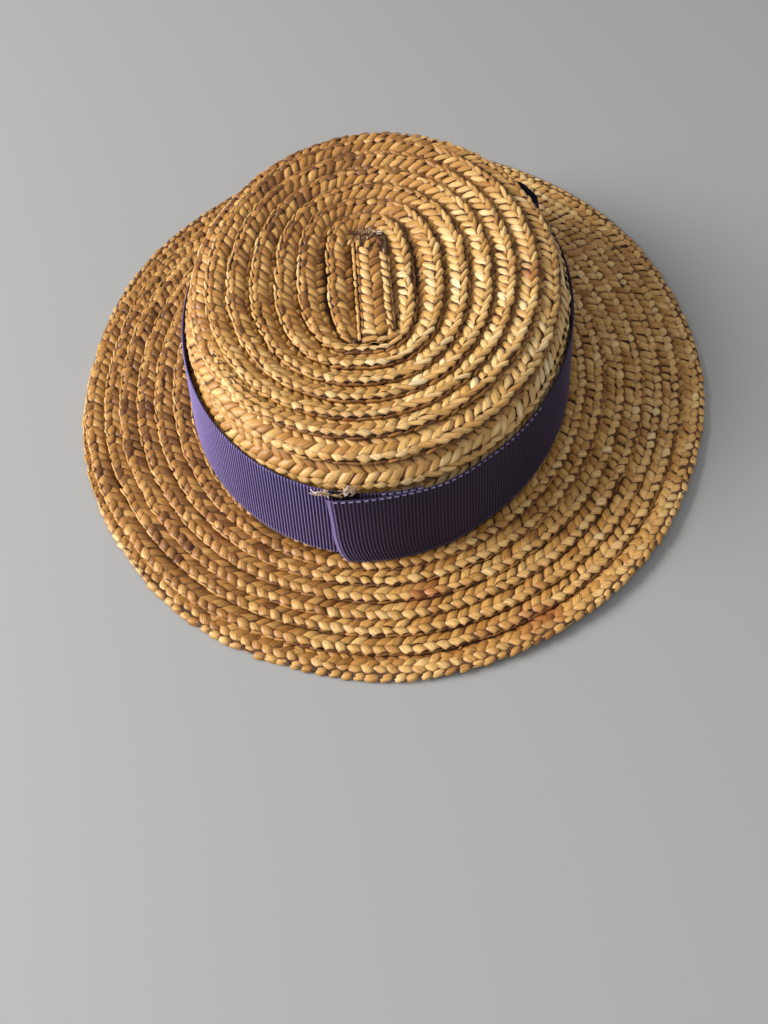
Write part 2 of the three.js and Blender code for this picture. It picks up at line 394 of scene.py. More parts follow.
def noise_node(tree, place, scale, detail=2.0):
    made = node(tree, "ShaderNodeTexNoise", noise_dimensions="3D")
    set_inputs(made, {"Scale": scale, "Detail": detail})
    links(tree)(place, made.inputs["Vector"])
    return made.outputs["Fac"]


def add_bump(tree, shader, height, strength, distance):
    bump = node(tree, "ShaderNodeBump")
    set_inputs(bump, {"Strength": strength, "Distance": distance})
    links(tree)(height, bump.inputs["Height"])
    links(tree)(bump.outputs[0], shader.inputs["Normal"])


def near_ends(tree, share, power):
    """0 half-way along a share that runs from 0 to 1, rising to 1 at both its ends."""
    away = math_node(tree, "ABSOLUTE", math_node(tree, "MULTIPLY_ADD", share, 2.0, -1.0))
    return math_node(tree, "POWER", away, power)


# Colours of the straw from dark to pale, and what its streaks do to them
STRAW_TONES = [
    (0.00, (0.15, 0.055, 0.012)),
    (0.26, (0.44, 0.205, 0.046)),
    (0.52, (0.64, 0.365, 0.112)),
    (0.78, (0.78, 0.520, 0.210)),
    (1.00, (0.92, 0.740, 0.430)),
]
STRAW_STREAKS = [
    (0.30, (0.48, 0.36, 0.24)),
    (0.45, (0.92, 0.88, 0.80)),
    (0.58, (1.04, 1.03, 1.0)),
    (0.72, (1.30, 1.32, 1.34)),
]
# Painted shade: the colour that cells darken towards along their edges, at their ends and towards
# their inner end
STRAW_SHADE = (0.16, 0.06, 0.018)
STRAW_STAIN = (0.30, 0.085, 0.022)
# Streaks across a cell and along it, and how far apart cells lie in the noise
STRAW_GRAIN = (8.5, 1.3, 91.0)


def straw_material(name, shade_strength=1.0):
    """Split wheat straw: a tone for each cell, streaks along it, and painted shade along its long
    edges and ends and towards its inner end.
    """
    material, tree, shader = plain_material(name)
    link = links(tree)
    parts = node(tree, "ShaderNodeSeparateXYZ")
    link(node(tree, "ShaderNodeUVMap", uv_map="UVMap").outputs[0], parts.inputs[0])
    across, along = parts.outputs[0], parts.outputs[1]
    tint = attribute(tree, "tint")
    grain_place = node(tree, "ShaderNodeCombineXYZ")
    for socket, way, scale in zip(grain_place.inputs, (across, along, tint), STRAW_GRAIN):
        link(math_node(tree, "MULTIPLY", way, scale), socket)
    grain = noise_node(tree, grain_place.outputs[0], 1.0, 3.0)
    broad = noise_node(tree, object_place(tree), 26.0)
    level = math_node(tree, "MULTIPLY_ADD", tint, 0.34, 0.31)
    level = math_node(tree, "ADD", level, attribute(tree, "tone"))
    drift = math_node(tree, "MULTIPLY", math_node(tree, "SUBTRACT", broad, 0.5), 0.42)
    level = math_node(tree, "ADD", level, drift, clamp=True)
    colour = ramp_node(tree, level, STRAW_TONES)
    colour = mix_colour(tree, 0.85, colour, ramp_node(tree, grain, STRAW_STREAKS), "MULTIPLY")
    # Painted shade along each cell's long edges and ends, where its neighbours shade it, and
    # towards its inner end, which lies under the turn above
    rim = math_node(tree, "MAXIMUM", near_ends(tree, across, 5.0), near_ends(tree, along, 7.0))
    dark = math_node(tree, "MULTIPLY", rim, 0.60 * shade_strength, clamp=True)
    inner = math_node(tree, "POWER", math_node(tree, "SUBTRACT", 1.0, along), 2.0)
    dark = math_node(tree, "ADD", dark, math_node(tree, "MULTIPLY", inner, 0.34), clamp=True)
    colour = mix_colour(tree, dark, colour, STRAW_SHADE)
    colour = mix_colour(tree, attribute(tree, "stain"), colour, STRAW_STAIN)
    link(colour, shader.inputs["Base Color"])
    link(math_node(tree, "MULTIPLY_ADD", grain, 0.30, 0.30), shader.inputs["Roughness"])
    shader.inputs["Specular IOR Level"].default_value = 0.45
    add_bump(tree, shader, grain, 0.7, 0.00025)
    return material


def speckled_material(name, scale, stops, roughness):
    material, tree, shader = plain_material(name)
    speckle = noise_node(tree, object_place(tree), scale)
    links(tree)(ramp_node(tree, speckle, stops), shader.inputs["Base Color"])
    shader.inputs["Roughness"].default_value = roughness
    return material


# Shaded and lit copies of the purple, mixed by painted light; along each, the rib value paints
# shade in the grooves and light on the ridges.
GROSGRAIN_SHADED = [
    (0.0, (0.006, 0.004, 0.011)),
    (0.5, (0.015, 0.010, 0.026)),
    (1.0, (0.042, 0.029, 0.066)),
]
GROSGRAIN_LIT = [
    (0.0, (0.004, 0.001, 0.018)),
    (0.5, (0.042, 0.028, 0.100)),
    (1.0, (0.285, 0.225, 0.490)),
]
GROSGRAIN_LAP_SHADOW = (0.003, 0.002, 0.005)
GROSGRAIN_FLECKS = [(0.3, (0.75, 0.75, 0.78)), (0.7, (1.2, 1.2, 1.2))]
GROSGRAIN_WEAR = [(0.35, (0.86, 0.84, 0.88)), (0.65, (1.1, 1.1, 1.1))]


def ribbon_material():
    """Dull purple grosgrain: painted shade between the ribs and painted highlight on them, with
    fine threads over them.
    """
    material, tree, shader = plain_material("purple grosgrain")
    rib = attribute(tree, "rib")
    scaled = node(tree, "ShaderNodeMapping")
    scaled.inputs["Scale"].default_value = (640.0, 900.0, 1.0)
    links(tree)(node(tree, "ShaderNodeUVMap", uv_map="UVMap").outputs[0], scaled.inputs["Vector"])
    thread = noise_node(tree, scaled.outputs[0], 1.0)
    # Random wear over the ribbon
    wear_and_side_shade = noise_node(tree, object_place(tree), 34.0)
    dull = ramp_node(tree, rib, GROSGRAIN_SHADED)
    bright = ramp_node(tree, rib, GROSGRAIN_LIT)
    # Painted light: the lit copy on the left, the shaded one right of the lap and at the back
    colour = mix_colour(tree, attribute(tree, "glow"), dull, bright)
    # Painted shadow on the lower layer under the lapped end
    colour = mix_colour(tree, attribute(tree, "hidden"), colour, GROSGRAIN_LAP_SHADOW)
    fleck = ramp_node(tree, thread, GROSGRAIN_FLECKS)
    colour = mix_colour(tree, 0.8, colour, fleck, "MULTIPLY")
    fade = ramp_node(tree, wear_and_side_shade, GROSGRAIN_WEAR)
    colour = mix_colour(tree, 0.7, colour, fade, "MULTIPLY")
    links(tree)(colour, shader.inputs["Base Color"])
    finish = {
        "Roughness": 0.72,
        "Specular IOR Level": 0.25,
        "Sheen Weight": 0.25,
        "Sheen Roughness": 0.4,
        "Sheen Tint": (0.62, 0.52, 0.85, 1),
    }
    set_inputs(shader, finish)
    add_bump(tree, shader, thread, 0.35, 0.0001)
    return material


FRAYED_TONES = [
    (0.0, (0.10, 0.05, 0.02)),
    (0.45, (0.40, 0.24, 0.12)),
    (0.75, (0.54, 0.45, 0.38)),
    (1.0, (0.64, 0.60, 0.61)),
]


def fray_material():
    """Split ends of the straw, from brown to bleached."""
    material, tree, shader = plain_material("frayed straw")
    speckle = noise_node(tree, object_place(tree), 700.0)
    level = math_node(tree, "MULTIPLY", speckle, 0.4)
    tint = math_node(tree, "MULTIPLY", attribute(tree, "tint"), 0.5)
    level = math_node(tree, "ADD", level, tint)
    level = math_node(tree, "ADD", level, attribute(tree, "tone"), clamp=True)
    links(tree)(ramp_node(tree, level, FRAYED_TONES), shader.inputs["Base Color"])
    shader.inputs["Roughness"].default_value = 0.8
    return material


straw = straw_material("plaited straw")
# The wrong side takes stronger painted edge shade.
straw_back = straw_material("plaited straw, wrong side", 1.2)
# Painted shade: the braid's sheet under its cells is near-black brown, so the gaps between cells
# read as shadow
gaps = speckled_material(
    "straw in the gaps", 420.0, [(0.3, (0.045, 0.017, 0.005)), (0.7, (0.12, 0.050, 0.014))], 0.75
)
lilac_thread = speckled_material(
    "lilac edge threads", 900.0, [(0.3, (0.12, 0.09, 0.21)), (0.7, (0.28, 0.24, 0.40))], 0.6
)


# ---- Meshes
def mesh_object(name, points, faces, uv=None, smooth=True, material=None):
    mesh = bpy.data.meshes.new(name)
    mesh.from_pydata((np.asarray(points) * MM).tolist(), [], [tuple(map(int, f)) for f in faces])
    if uv is not None:
        layer = mesh.uv_layers.new(name="UVMap")
        loops = np.empty(len(mesh.loops), dtype=np.int32)
        mesh.loops.foreach_get("vertex_index", loops)
        layer.data.foreach_set("uv", np.asarray(uv, dtype=np.float32)[loops].ravel())
    mesh.polygons.foreach_set("use_smooth", [smooth] * len(mesh.polygons))
    if material:
        mesh.materials.append(material)
    made = bpy.data.objects.new(name, mesh)
    bpy.context.scene.collection.objects.link(made)
    return made


def grid_faces(rows, columns, wrap_rows=False, wrap_columns=False):
    faces = []
    for r in range(rows if wrap_rows else rows - 1):
        for c in range(columns if wrap_columns else columns - 1):
            r2, c2 = (r + 1) % rows, (c + 1) % columns
            faces.append((r * columns + c, r * columns + c2, r2 * columns + c2, r2 * columns + c))
    return faces


def straw_cell(
    name, length, width, lean, bulge, arch, taper, shingle=0.15, square=0.0, blunt=4.0
):
    """A short flat length of straw between two crossings. Its ends run along the braid, it is
    bulged across, and arch and taper are its dip and its narrowing at the inner and outer end.
    A less blunt cell narrows along its whole inner half."""
    fibre = np.array([math.sin(math.radians(lean)), math.cos(math.radians(lean))])
    cut = unit(np.array([fibre[1], -fibre[0]]) * square + np.array([1.0, 0.0]) * (1 - square))
    ends, sides = (-1, -0.8, -0.35, 0.3, 0.78, 1), (-1, -0.74, 0, 0.74, 1)
    points, uv = [], []
    for v in ends:
        which = 0 if v < 0 else 1
        slim = 1 - taper[which] * abs(v) ** (blunt if v < 0 else 4)
        for u in sides:
            flat = fibre * v * length / 2 + cut * u * slim * width / 2
            height = bulge * (1 - abs(u) ** 3) - arch[which] * abs(v) ** 3
            height = height + shingle * u - EDGE_DIP * u**4
            points.append((flat[0], flat[1], height))
            uv.append(((u + 1) / 2, (v + 1) / 2))
    return mesh_object(name, points, grid_faces(len(ends), len(sides)), uv)


def socket_named(sockets, name):
    return next(s for s in sockets if s.name == name and s.enabled)


def point_value(tree, name, kind):
    made = node(tree, "GeometryNodeInputNamedAttribute", data_type=kind)
    made.inputs["Name"].default_value = name
    return socket_named(made.outputs, "Attribute")


def scaled_vector(tree, vector, scale):
    made = node(tree, "ShaderNodeVectorMath", operation="SCALE")
    links(tree)(vector, made.inputs[0])
    links(tree)(scale, made.inputs["Scale"])
    return made.outputs[0]


def jitter(tree, seed, reach):
    """A random vector for each point, up to the reach either way along each axis."""
    made = node(tree, "FunctionNodeRandomValue", data_type="FLOAT_VECTOR")
    socket_named(made.inputs, "Min").default_value = (-1, -1, -1)
    socket_named(made.inputs, "Max").default_value = (1, 1, 1)
    links(tree)(seed, made.inputs["Seed"])
    return scaled_vector(tree, socket_named(made.outputs, "Value"), reach)


def plait_tree(name, cells, material):
    """Sets one kind of cell on each point, turned and scaled by the point's own values."""
    tree = bpy.data.node_groups.new(name, "GeometryNodeTree")
    inputs = [("Geometry", "Geometry")] + [(cell, "Object") for cell in cells]
    inputs += [(word, "Float") for word in ("Cell Scale", "Size Jitter", "Turn Jitter")]
    for word, kind in inputs + [("Seed", "Int")]:
        tree.interface.new_socket(word, in_out="INPUT", socket_type="NodeSocket" + kind)
    tree.interface.new_socket("Geometry", in_out="OUTPUT", socket_type="NodeSocketGeometry")
    link = links(tree)
    given = node(tree, "NodeGroupInput").outputs
    sway = node(tree, "FunctionNodeEulerToRotation")
    link(jitter(tree, given["Seed"], given["Turn Jitter"]), sway.inputs[0])
    turned = node(tree, "FunctionNodeRotateRotation", rotation_space="LOCAL")
    link(point_value(tree, "turn", "QUATERNION"), turned.inputs[0])
    link(sway.outputs[0], turned.inputs[1])
    size_seed = math_node(tree, "ADD", given["Seed"], 31)
    uneven = node(tree, "ShaderNodeVectorMath", operation="ADD")
    link(jitter(tree, size_seed, given["Size Jitter"]), uneven.inputs[0])
    link(point_value(tree, "size", "FLOAT_VECTOR"), uneven.inputs[1])
    scale = scaled_vector(tree, uneven.outputs[0], given["Cell Scale"])
    kind = point_value(tree, "kind", "INT")
    joined = node(tree, "GeometryNodeJoinGeometry")
    for number, cell in enumerate(cells):
        same = node(tree, "FunctionNodeCompare", data_type="INT", operation="EQUAL")
        link(kind, socket_named(same.inputs, "A"))
        socket_named(same.inputs, "B").default_value = number
        source = node(tree, "GeometryNodeObjectInfo", transform_space="ORIGINAL")
        link(given[cell], source.inputs["Object"])
        placed = node(tree, "GeometryNodeInstanceOnPoints")
        link(given["Geometry"], placed.inputs["Points"])
        link(same.outputs[0], placed.inputs["Selection"])
        link(source.outputs["Geometry"], placed.inputs["Instance"])
        link(turned.outputs[0], placed.inputs["Rotation"])
        link(scale, placed.inputs["Scale"])
        link(placed.outputs[0], joined.inputs[0])
    shade = node(tree, "FunctionNodeRandomValue", data_type="FLOAT")
    link(given["Seed"], shade.inputs["Seed"])
    kept = node(tree, "GeometryNodeStoreNamedAttribute", data_type="FLOAT", domain="INSTANCE")
    kept.inputs["Name"].default_value = "tint"
    link(joined.outputs[0], kept.inputs["Geometry"])
    link(socket_named(shade.outputs, "Value"), socket_named(kept.inputs, "Value"))
    real = node(tree, "GeometryNodeRealizeInstances")
    link(kept.outputs[0], real.inputs[0])
    finish = node(tree, "GeometryNodeSetMaterial")
    finish.inputs["Material"].default_value = material
    link(real.outputs[0], finish.inputs[0])
    link(finish.outputs[0], node(tree, "NodeGroupOutput").inputs[0])
    return tree


def cells_on(points, turns, kind=0, size=(1, 1, 1), tone=0.0, stain=0.0):
    """Cells on points: how each is turned and scaled, its kind, its tone and its stain."""
    count = len(points)
    return {
        "point": points,
        "turn": turns,
        "kind": np.full(count, kind),
        "size": np.broadcast_to(np.array(size, float), (count, 3)),
        "tone": np.broadcast_to(tone, count),
        "stain": np.broadcast_to(stain, count),
    }


POINT_VALUES = [
    ("turn", "QUATERNION", "value"),
    ("kind", "INT", "value"),
    ("size", "FLOAT_VECTOR", "vector"),
    ("tone", "FLOAT", "value"),
    ("stain", "FLOAT", "value"),
]


def points_object(name, rows):
    """A cloud of points that carries the turn, kind, size, tone and stain of each cell."""
    points = np.concatenate([row["point"] for row in rows])
    mesh = bpy.data.meshes.new(name)
    mesh.from_pydata((points * MM).tolist(), [], [])
    for word, kind, field in POINT_VALUES:
        values = np.concatenate([row[word] for row in rows])
        values = values.astype(np.int32 if kind == "INT" else np.float32)
        mesh.attributes.new(word, kind, "POINT").data.foreach_set(field, values.ravel())
    made = bpy.data.objects.new(name, mesh)
    bpy.context.scene.collection.objects.link(made)
    return made


def grown_mesh(made, tree, values):
    """Runs the tree on the object and keeps the result as its plain mesh."""
    modifier = made.modifiers.new("plait", "NODES")
    modifier.node_group = tree
    for item in tree.interface.items_tree:
        if item.item_type == "SOCKET" and item.in_out == "INPUT" and item.name in values:
            modifier[item.identifier] = values[item.name]
    made.update_tag()
    seen = made.evaluated_get(bpy.context.evaluated_depsgraph_get())
    mesh = bpy.data.meshes.new_from_object(seen)
    made.modifiers.clear()
    made.data = mesh
    mesh.name = made.name
    return made


def quaternions(along, out, up):
    turns = np.empty((len(along), 4), dtype=np.float32)
    for i in range(len(along)):
        axes = Matrix((along[i], out[i], up[i])).transposed()
        turns[i] = axes.to_quaternion()
    return turns


# Reddish and dark marks in the straw: x, y and z of the place, reach and strength
STAINS = [
    (53.9, 1.1, 57.0, 4.5, 0.85),
    (57.4, -125.4, 2.5, 7.0, 0.55),
    (62.5, -123.1, 2.5, 6.0, 0.60),
    (18.0, -115.6, 2.5, 5.0, 0.80),
    (24.0, -101.5, 2.5, 4.0, 0.35),
    (-9.4, -79.1, 57.0, 3.4, 0.60),
    (10.9, -73.0, 57.0, 3.4, 0.35),
    (-62.0, -96.0, 2.5, 5.0, 0.40),
    (80.0, 78.0, 2.5, 6.0, 0.45),
]


def stain_at(points):
    stained = np.zeros(len(points))
    for x, y, z, reach, strength in STAINS:
        gap = np.linalg.norm(points - np.array([x, y, z]), axis=1)
        stained = np.maximum(stained, strength * np.clip(1.4 - gap / reach, 0, 1))
    return stained


def row_of(
    run, kind, inward, height, roll, phase, keep, tone=0.0, size=(1, 1, 1), flip=False, yaw=0.0
):
    """One row of cells along a run, at a distance in from its edge."""
    total = len(run.tau)
    sway = PLACE_SWAY * rng.standard_normal((2, total, 1))
    shifted = run.place(inward, height) + run.along * (phase * CELL_PITCH + sway[0])
    shifted = (shifted + run.out * sway[1])[keep]
    yaw = np.radians(np.broadcast_to(yaw, total))[:, None]
    along = run.along * np.cos(yaw) + run.out * np.sin(yaw)
    level = run.out * np.cos(yaw) - run.along * np.sin(yaw)
    turn = math.radians(roll)
    out = level * math.cos(turn) - run.up * math.sin(turn)
    up = run.up * math.cos(turn) + level * math.sin(turn)
    if flip:
        along, up = -along, -up
    tones = np.broadcast_to(tone, total) + TONE_SWAY * rng.standard_normal(total)
    turns = quaternions(along[keep], out[keep], up[keep])
    sizes = np.broadcast_to(np.array(size, float), (total, 3))[keep]
    return cells_on(shifted, turns, kind, sizes, tones[keep], stain_at(shifted))


cells = [
    straw_cell("inner cell", 6.0, 4.8, 35, 0.48, (0.85, 0.60), (0.24, 0.12)),
    straw_cell("outer cell", 4.1, 4.3, -40, 0.55, (0.40, 0.60), (0.14, 0.24), square=0.45),
    straw_cell("edge cell", 5.2, 1.3, 88, 0.45, (0.45, 0.45), (0.35, 0.35), 0.0, 1.0),
    straw_cell("rim bead", 4.7, 2.5, 84, 0.65, (0.55, 0.50), (0.36, 0.30), 0.10, 1.0),
    straw_cell("cross cell", 5.6, 4.5, -36, 0.50, (0.60, 0.60), (0.10, 0.15)),
    straw_cell("tooth cell", 6.6, 5.0, 38, 0.50, (0.60, 0.60), (0.80, 0.12), blunt=1.5),
    straw_cell("rope cell", 7.2, 3.7, -66, 0.60, (0.45, 0.55), (0.12, 0.25), 0.10, 0.3),
]
INNER, OUTER, EDGE, BEAD, CROSS, TOOTH, ROPE = range(len(cells))
braid_cells = {cell.name.title(): cell for cell in cells}
braid_tree = plait_tree("plait the braid", braid_cells, straw)
back_tree = plait_tree("plait the wrong side", braid_cells, straw_back)
pieces = {}


def plait(name, rows, tree, seed, given=braid_cells, turn=0.15, size=0.15):
    """Makes a piece of the cells that the rows tell."""
    values = {"Cell Scale": 1.0, "Size Jitter": size, "Turn Jitter": turn, "Seed": seed}
    pieces[name] = grown_mesh(points_object(name, rows), tree, {**given, **values})


def crown_rows(run, shown):
    """The rows on the crown's outer side, from the sunken one to the thin edge. On the right
    the middle ones are long teeth and a rope, and elsewhere broad cells and knobs."""
    left, back, right, front = run.sides()
    middle, edge = shown & (run.width > 3.6), shown & (run.width > 1.5)
    toothed = right > 0.35
    # Painted light and shade in the tones: lighter towards the right and front, darker towards
    # the left and back; the sunken row is painted darker as shade, and the thin edge is painted
    # light on the left and dark elsewhere.
    side_shade = 0.18 * right + 0.04 * front - 0.10 * left - 0.23 * back
    return [
        row_of(
            run,
            CROSS,
            inward=8.9 - 0.6 * front,
            height=-0.62 + 0.25 * front,
            roll=-8,
            phase=0.30,
            keep=shown & (run.width > 7.6),
            tone=side_shade - 0.14 - 0.16 * right + 0.06 * front,
        ),
        row_of(
            run,
            INNER,
            inward=5.7 - 0.5 * front,
            height=0.10,
            roll=-9,
            phase=0.10,
            keep=middle & ~toothed,
            tone=side_shade + 0.06 * right - 0.03 * front,
        ),
        row_of(
            run,
            TOOTH,
            inward=5.9,
            height=0.12,
            roll=-9,
            phase=0.10,
            keep=middle & toothed,
            tone=side_shade + 0.10 * right,
        ),
        row_of(
            run,
            OUTER,
            inward=2.3 - 0.5 * front,
            height=0.12,
            roll=14,
            phase=0.45,
            keep=edge & ~toothed,
            tone=side_shade + 0.12 * front - 0.18 * left,
            size=np.stack([1.0 + 0.28 * right, 0.88 - 0.06 * left, np.ones(len(left))], -1),
            yaw=8 + 26 * right,
        ),
        row_of(
            run,
            ROPE,
            inward=2.15,
            height=0.16,
            roll=14,
            phase=0.45,
            keep=edge & toothed,
            tone=side_shade + 0.02,
        ),
        row_of(
            run,
            EDGE,
            inward=0.4,
            height=-1.45 + 0.95 * left,
            roll=40,
            phase=0.25,
            keep=edge,
            tone=0.14 * left - 0.44 * (1 - left),
        ),
    ]


def brim_rows(run, shown):
    """The rows on the brim's upper side, from the sunken one to the edge. On the last turn they
    stand further in, where the rim's beads lie outside them."""
    left, _, right, front = run.sides()
    rim = np.clip((run.tau - RIM_START) / 0.08, 0, 1) * np.clip((run.width - 3) / 3, 0, 1)
    # Painted shade in the tones: darker towards the front and most towards the left; the sunken
    # row is painted darker as shade, the outer knobs paler as lit, and the edge strands light on
    # the left and dark elsewhere.
    wear_and_side_shade = 0.04 * right - 0.09 * front - 0.24 * left
    edge = shown & (run.width > 1.0)
    return [
        row_of(
            run,
            CROSS,
            inward=9.6 - 0.6 * front,
            height=-0.62 + 0.2 * front,
            roll=-6,
            phase=0.30,
            keep=shown & (run.width > 8.2),
            tone=wear_and_side_shade - 0.18,
        ),
        row_of(
            run,
            INNER,
            inward=6.0 + 1.6 * rim - 0.4 * front,
            height=0.12,
            roll=-8,
            phase=0.10,
            keep=shown & (run.width > 3.6),
            tone=wear_and_side_shade - 0.03,
        ),
        row_of(
            run,
            OUTER,
            inward=2.45 + 1.9 * rim - 0.5 * front * (1 - rim),
            height=0.05,
            roll=12,
            phase=0.45,
            keep=edge,
            tone=wear_and_side_shade + 0.09 - 0.10 * left,
            size=(1.0, 1.04, 1.0),
        ),
        row_of(
            run,
            EDGE,
            inward=0.5 + 2.2 * rim,
            height=-1.40 + 0.85 * left - 0.3 * rim,
            roll=40,
            phase=0.25,
            keep=edge,
            tone=0.05 * left - 0.42 * (1 - left),
        ),
    ]


def bead_row(run):
    shown = run.tau > RIM_START
    return row_of(
        run,
        BEAD,
        inward=1.45,
        height=-0.90,
        roll=28,
        phase=0.0,
        keep=shown,
        tone=-0.02,
        size=(1.0, 1.12, 1.0),
    )


def back_rows(run, shown, edge_too):
    """The rows on the wrong side, which is inside the crown and under the brim."""
    rows = [(OUTER, 7.0, 0.10, shown), (INNER, 11.2, 0.45, shown)]
    rows.append((INNER, 3.7, 0.30, shown & edge_too))
    return [
        row_of(run, kind, inward, -BRAID_THICKNESS, 0, phase, keep, tone=-0.12, flip=True)
        for kind, inward, phase, keep in rows
    ]


def crown_run(start, pitch):
    return Run(crown_edge, start, CROWN_END, pitch, crown_foot, CROWN_FOOT_DEPTH)


def brim_run(pitch):
    return Run(brim_edge, BRIM_START, LAST_TURN, pitch, brim_foot, BRIM_FOOT_DEPTH)


crown = crown_run(0.0, CELL_PITCH)
brim = brim_run(CELL_PITCH)
inner_half = brim.tau < BRIM_HALFWAY
no_edge = np.zeros(len(crown.tau), bool)
under_edge = brim.tau > UNDER_EDGE_START
plait("crown_braid", crown_rows(crown, crown.tau < ABOVE_RIBBON_END), braid_tree, 3)
plait("brim_braid_inner", brim_rows(brim, inner_half), braid_tree, 5)
plait("brim_braid_outer", brim_rows(brim, ~inner_half) + [bead_row(brim)], braid_tree, 8)
plait("crown_braid_inside", back_rows(crown, crown.tau > INSIDE_START, no_edge), back_tree, 12)
plait("brim_braid_under", back_rows(brim, brim.tau > UNDER_START, under_edge), back_tree, 17)


def press(piece):
    """What would reach through the table lies flat on it instead."""
    room = PRESSED_BELOW - TABLE_GAP
    for vertex in piece.data.vertices:
        z = vertex.co.z / MM
        if z < PRESSED_BELOW:
            vertex.co.z = MM * (TABLE_GAP + room * math.exp((z - PRESSED_BELOW) / room))


def core_band(name, run):
    """The braid's own sheet under its cells, as one closed band along the run."""
    rings = np.stack([run.place(inward, height) for inward, height in CORE_SECTION], 1)
    count = len(CORE_SECTION)
    points = rings.reshape(-1, 3)
    faces = grid_faces(len(rings), count, wrap_columns=True)
    faces.append(tuple(range(count)))
    faces.append(tuple(reversed(range(len(points) - count, len(points)))))
    return mesh_object(name, points, [tuple(reversed(f)) for f in faces], material=gaps)


pieces["crown_core"] = core_band("crown_core", crown_run(CORE_START, CORE_PITCH))
pieces["brim_core"] = core_band("brim_core", brim_run(CORE_PITCH))
for name, piece in pieces.items():
    if name.startswith("brim"):
        press(piece)


# ---- Straight start
def start_frame(across, along, height):
    t = math.radians(START_TURN)
    x = START_CENTRE[0] + across * math.cos(t) - along * math.sin(t)
    y = START_CENTRE[1] + across * math.sin(t) + along * math.cos(t)
    return np.stack([x, y, np.full_like(x, CROWN_TOP + height)], -1)


def start_row(kind, across, height, roll, phase, tone, size, low=0.0, high=0.0):
    """A row along the straight start, which leaves out a length at its near and far end."""
    near, far = -START_HALF[1] + START_NEAR_GAP + low, START_HALF[1] - START_FAR_GAP - high
    places = np.arange(near, far, CELL_PITCH)
    points = start_frame(across, places + phase * CELL_PITCH, height)
    t, r = math.radians(START_TURN), math.radians(roll)
    out = np.tile([-math.cos(t), -math.sin(t), 0.0], (len(places), 1))
    turned_out = out * math.cos(r) - UP * math.sin(r)
    turned_up = UP * math.cos(r) + out * math.sin(r)
    turns = quaternions(np.cross(out, UP), turned_out, turned_up)
    return cells_on(points, turns, kind, size, tone)


def free_cells(kind, table):
    """Single cells on the straight start: across, along, height, heading, size and tone."""
    table = np.array(table)
    heading = np.radians(table[:, 3] + START_TURN)
    along = np.stack([np.cos(heading), np.sin(heading), np.zeros(len(table))], -1)
    up = np.tile(UP, (len(table), 1))
    turns = quaternions(along, np.cross(up, along), up)
    return cells_on(start_frame(*table[:, :3].T), turns, kind, table[:, 4:7], table[:, 7])


# Rows: kind, across, height, roll, phase, tone and size
# The edge row on the right is painted dark as shade in its groove.
start_rows = [
    start_row(INNER, 4.7, -0.20, -10, 0.15, 0.24, (0.82, 0.66, 1.0), high=15),
    start_row(EDGE, 6.4, -0.8, -40, 0.0, -0.30, (1.0, 0.8, 1.0), high=15),
    start_row(CROSS, 1.0, -0.05, 0, 0.0, -0.14, (1.0, 1.05, 1.0), low=3.5, high=10),
    start_row(INNER, -3.2, -0.12, 6, 0.30, 0.16, (1.0, 0.9, 1.0), low=4.0, high=9),
    start_row(EDGE, -5.9, -0.85, 45, 0.6, -0.22, (1.0, 1.2, 1.0), high=5),
    start_row(EDGE, -7.5, -0.80, 45, 0.2, 0.10, (1.0, 1.1, 1.0), high=5),
    free_cells(
        BEAD,
        [
            (-3.2, -26.8, 0.15, -18, 1.15, 0.95, 1.0, 0.35),
            (2.1, -26.3, 0.35, 48, 1.55, 1.25, 1.1, -0.30),
            (-3.4, -30.2, -0.25, 4, 1.20, 0.95, 1.0, 0.12),
            (1.2, -30.4, -0.35, 6, 1.10, 0.85, 1.0, 0.0),
            (5.2, -29.4, -0.15, 22, 0.95, 1.0, 1.0, 0.05),
            (-8.4, 25.0, -0.5, 62, 1.0, 0.75, 0.7, 0.10),
            (-5.2, 23.6, -0.2, 84, 0.95, 0.80, 0.7, 0.16),
            (-1.5, 22.5, 0.0, 60, 1.0, 1.0, 0.8, 0.0),
            (1.9, 21.0, -0.1, 62, 1.0, 1.0, 0.8, -0.22),
            (3.4, 24.0, -0.3, 96, 0.9, 0.8, 0.8, -0.40),
            (0.6, 24.8, -0.3, 40, 0.9, 0.8, 0.8, -0.10),
        ],
    ),
]
plait("braid_start_cells", start_rows, braid_tree, 21)


def start_core():
    """The start's own sheet under its cells: a plate with round corners, whose far end slopes
    down under the frayed strands, where the straw gives out."""
    x, y = START_CORE_HALF[0] - START_CORE_CORNER, START_CORE_HALF[1] - START_CORE_CORNER
    ring = []
    for cx, cy, first in ((x, y, 0), (-x, y, 90), (-x, -y, 180), (x, -y, 270)):
        for turn in np.radians(first + np.arange(5) * 22.5):
            corner = (START_CORE_CORNER * math.cos(turn), START_CORE_CORNER * math.sin(turn))
            ring.append((cx + corner[0], cy + corner[1]))
    across, along = np.array(ring).T
    top = start_frame(across, np.minimum(along, START_HALF[1] - START_FRAY), START_CORE_TOP)
    bottom = start_frame(across, along, START_CORE_BOTTOM)
    n = len(ring)
    faces = [(i, i + n, (i + 1) % n + n, (i + 1) % n) for i in range(n)]
    faces.append(tuple(range(n)))
    faces.append(tuple(reversed(range(n, 2 * n))))
    points = np.concatenate([top, bottom])
    return mesh_object("braid_start_core", points, faces, smooth=False, material=gaps)


pieces["braid_start_core"] = start_core()


# ---- Ribbon
def smoothstep(x, low, high):
    t = np.clip((x - low) / (high - low), 0, 1)
    return t * t * (3 - 2 * t)


def fading(left, span, power=1):
    """1 at the ribbon's outer end, falling to 0 at a distance before it."""
    return np.maximum(0, 1 - left / span) ** power


def lap_climb(gone):
    """How far the ribbon has climbed on to its own lower layer."""
    high = 360 - RIBBON_CLIMB_SPAN / 4
    return RIBBON_LAP_LIFT * smoothstep(gone, 360 - RIBBON_CLIMB_SPAN, high)


